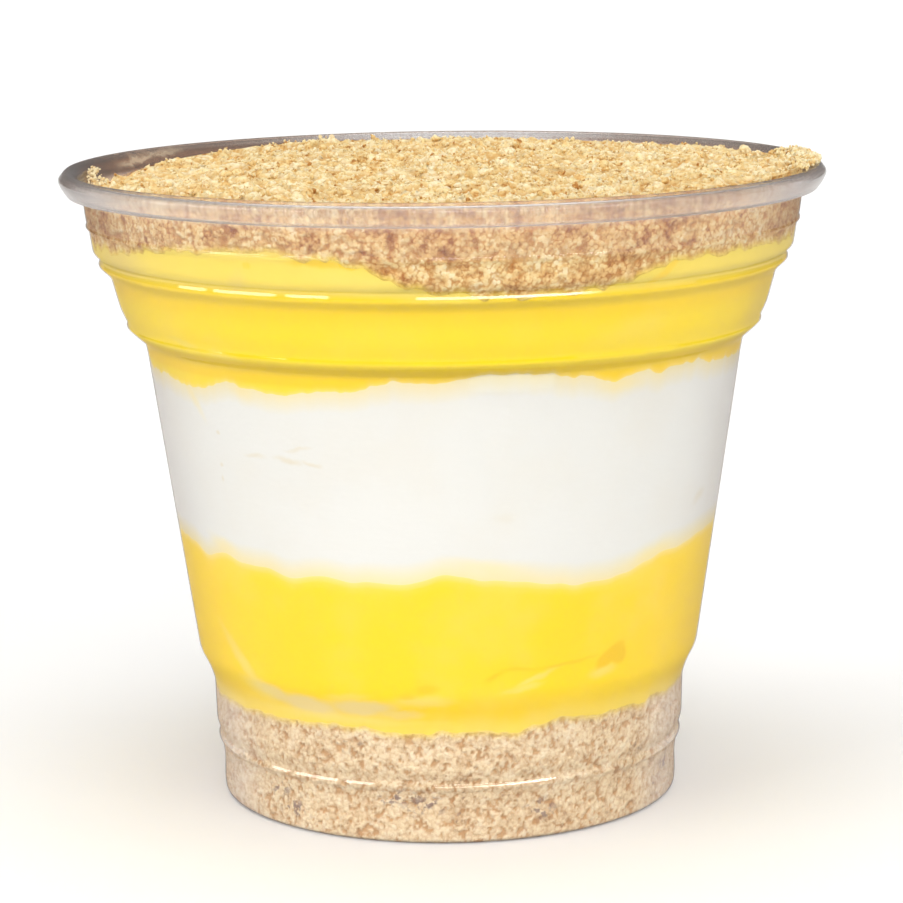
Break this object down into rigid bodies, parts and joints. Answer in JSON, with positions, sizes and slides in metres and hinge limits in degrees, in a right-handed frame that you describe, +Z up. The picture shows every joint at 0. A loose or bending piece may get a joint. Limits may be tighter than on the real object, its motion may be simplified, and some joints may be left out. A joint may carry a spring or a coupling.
{
  "type": "lemon tart dessert cup",
  "caption": "Clear stepped plastic dessert cup with a rolled rim, filled in layers with biscuit crumb, lemon curd, cream, lemon curd and a heap of crumb.",
  "frame": {"origin": "middle of the circle that the cup stands on, at the foot", "axes": "+Z up along the cup's axis, -Y towards the shown front, +X to the right of it"},
  "size_m": [0.0946, 0.0946, 0.0795],
  "materials": {
    "cup_plastic": "clear glossy plastic",
    "crumb": "dry, crumbly, matte",
    "curd": "smooth, moist, soft sheen",
    "cream": "smooth, soft satin"
  },
  "bodies": {
    "root": {"cup": "cup_plastic", "crumb_base": "crumb", "curd_lower": "curd", "cream": "cream", "curd_upper": "curd", "crumb_top": "crumb"}
  },
  "joints": []
}
